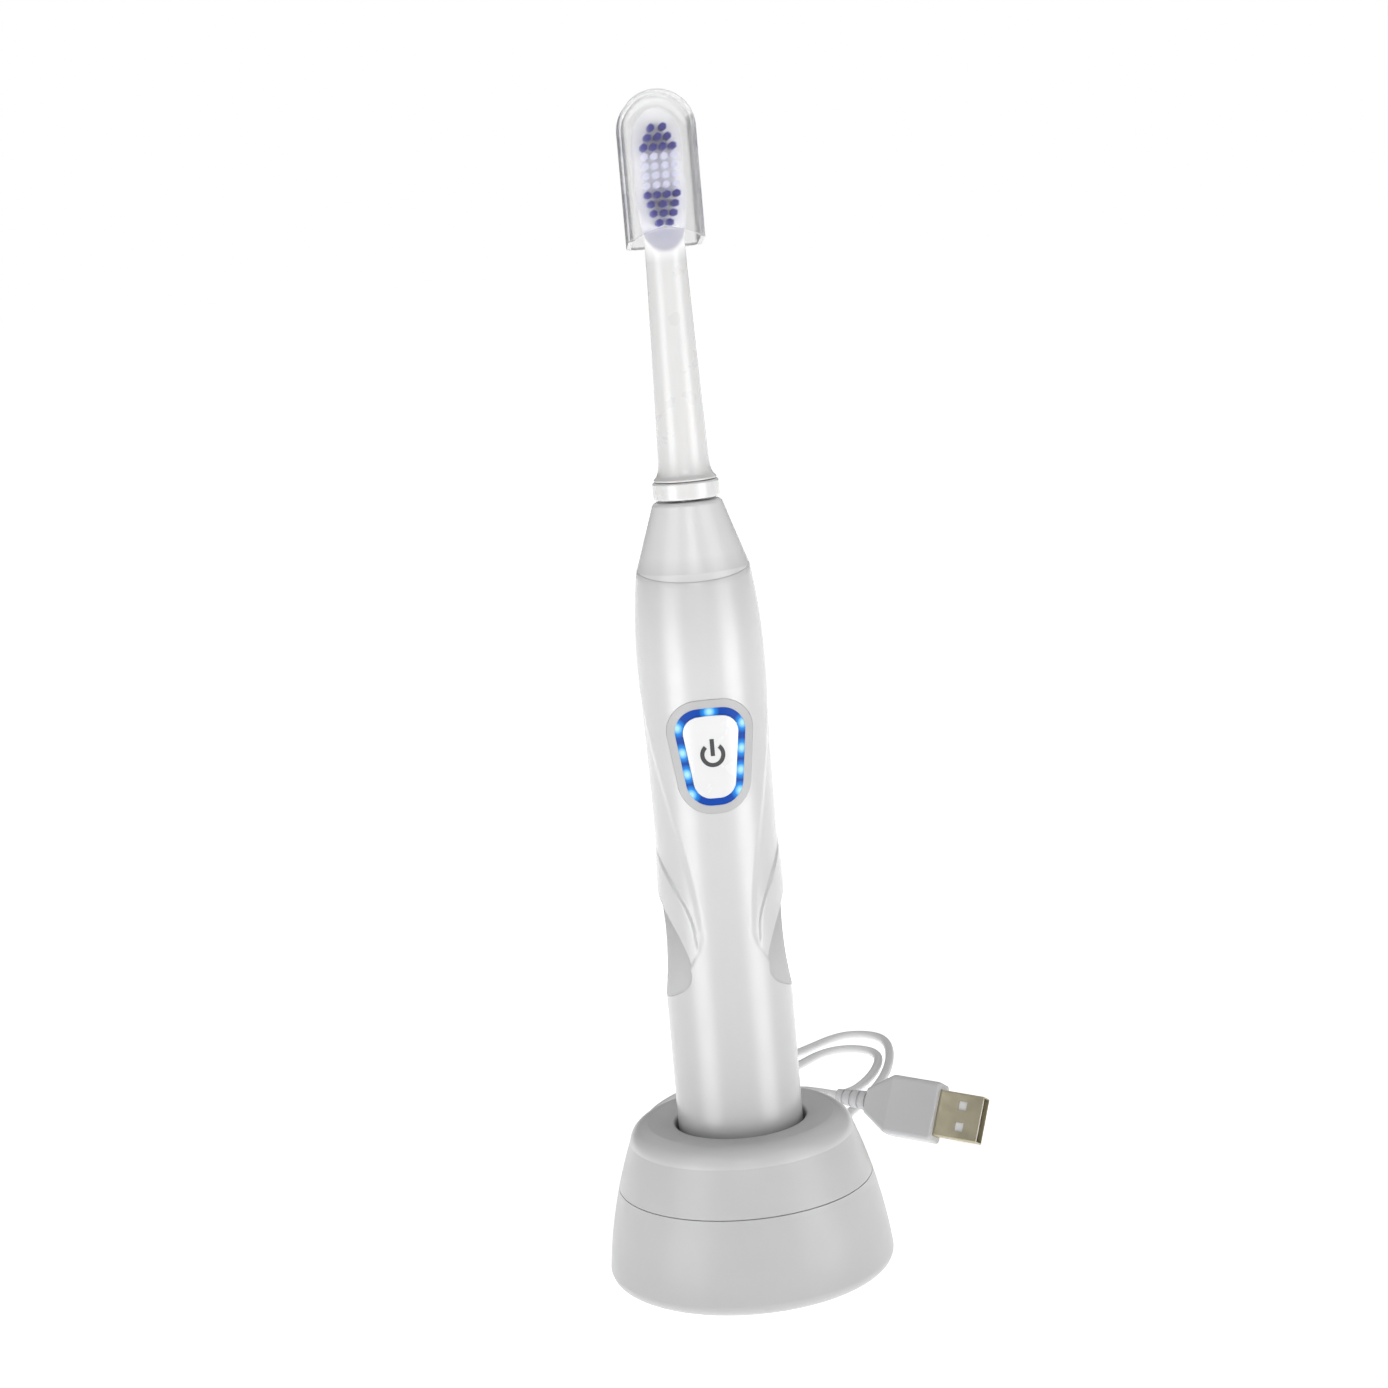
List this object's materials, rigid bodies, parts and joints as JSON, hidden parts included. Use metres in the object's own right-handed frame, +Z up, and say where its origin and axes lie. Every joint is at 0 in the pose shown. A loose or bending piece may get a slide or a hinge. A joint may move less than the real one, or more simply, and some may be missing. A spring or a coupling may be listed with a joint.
{
  "type": "electric toothbrush on charger",
  "caption": "Sonic toothbrush with a clear travel cap over its head, standing in a round induction charging base with a USB cord.",
  "frame": {"origin": "centre of the base's round footprint, on the surface it stands on", "axes": "+Z up along the handle, -Y the side with the button and the bristles, +Y the side the cord leaves"},
  "size_m": [0.1014, 0.2047, 0.2687],
  "materials": {
    "housing_white": "glossy moulded ABS",
    "base_grey": "satin moulded ABS",
    "grip_grey": "soft-touch overmould",
    "frame_grey": "satin",
    "light_blue": "translucent light guide, lit blue",
    "lamp": "lit lamp lens",
    "button_white": "glossy",
    "brush_white": "glossy moulded polypropylene",
    "bristle_blue": "dyed nylon filament",
    "bristle_white": "nylon filament",
    "clear": "clear polycarbonate",
    "cord_grey": "smooth PVC",
    "plug_grey": "satin PVC moulding",
    "nickel": "nickel-plated pressed steel",
    "plug_insert": "moulded insulator",
    "gold": "gold-plated contact",
    "steel": "turned steel",
    "copper": "enamelled copper winding",
    "ferrite": "sintered ferrite",
    "board_green": "solder-masked glass-fibre board",
    "black_rubber": "moulded rubber",
    "frame_black": "moulded nylon frame",
    "cell_wrap": "shrink sleeve"
  },
  "bodies": {
    "base": {"base_shell": "base_grey", "base_cover": "base_grey", "base_screws": "steel", "foot_ring": "black_rubber", "charger_pcb": "board_green", "ferrite_core": "ferrite", "primary_coil": "copper", "strain_relief": "cord_grey", "power_cord": "cord_grey", "usb_overmould": "plug_grey", "usb_shell": "nickel", "usb_tongue": "plug_insert", "usb_contacts": "gold"},
    "handle": {"handle_shell": "housing_white", "grip_pad_right": "grip_grey", "grip_pad_left": "grip_grey", "nose_cone": "housing_white", "bottom_cap": "housing_white", "bottom_seal": "black_rubber", "secondary_coil": "copper", "chassis": "frame_black", "battery": "cell_wrap", "battery_contacts": "nickel", "motor_case": "steel", "lower_bearing": "steel", "upper_bearing": "steel", "stator_coil": "copper", "shaft_seal": "black_rubber", "handle_pcb": "board_green", "tact_switch": "frame_black", "leds": "lamp", "button_bezel": "frame_grey", "light_ring": "light_blue"},
    "button": {"power_button": "button_white"},
    "drive_shaft": {"drive_shaft": "steel", "rotor_magnet": "nickel"},
    "brush_head": {"brush_neck": "brush_white", "id_ring": "brush_white", "shaft_socket": "frame_grey", "tufts_blue": "bristle_blue", "tufts_white": "bristle_white"},
    "travel_cap": {"travel_cap": "clear"}
  },
  "joints": [
    {"name": "handle_lift", "type": "slide", "parent": "base", "child": "handle", "axis": [0, 0, 1], "range_m": [0, 0.06]},
    {"name": "button_press", "type": "slide", "parent": "handle", "child": "button", "axis": [0, 1, 0], "range_m": [0, 0.0004], "stiffness_N_per_m": 2000},
    {"name": "shaft_oscillation", "type": "hinge", "parent": "handle", "child": "drive_shaft", "pos_m": [0, 0, 0.16], "axis": [0, 0, 1], "range_deg": [-5, 5], "stiffness_Nm_per_rad": 0.05},
    {"name": "brush_pull", "type": "slide", "parent": "drive_shaft", "child": "brush_head", "axis": [0, 0, 1], "range_m": [0, 0.03]},
    {"name": "cap_pull", "type": "slide", "parent": "brush_head", "child": "travel_cap", "axis": [0, 0, 1], "range_m": [0, 0.045]}
  ]
}
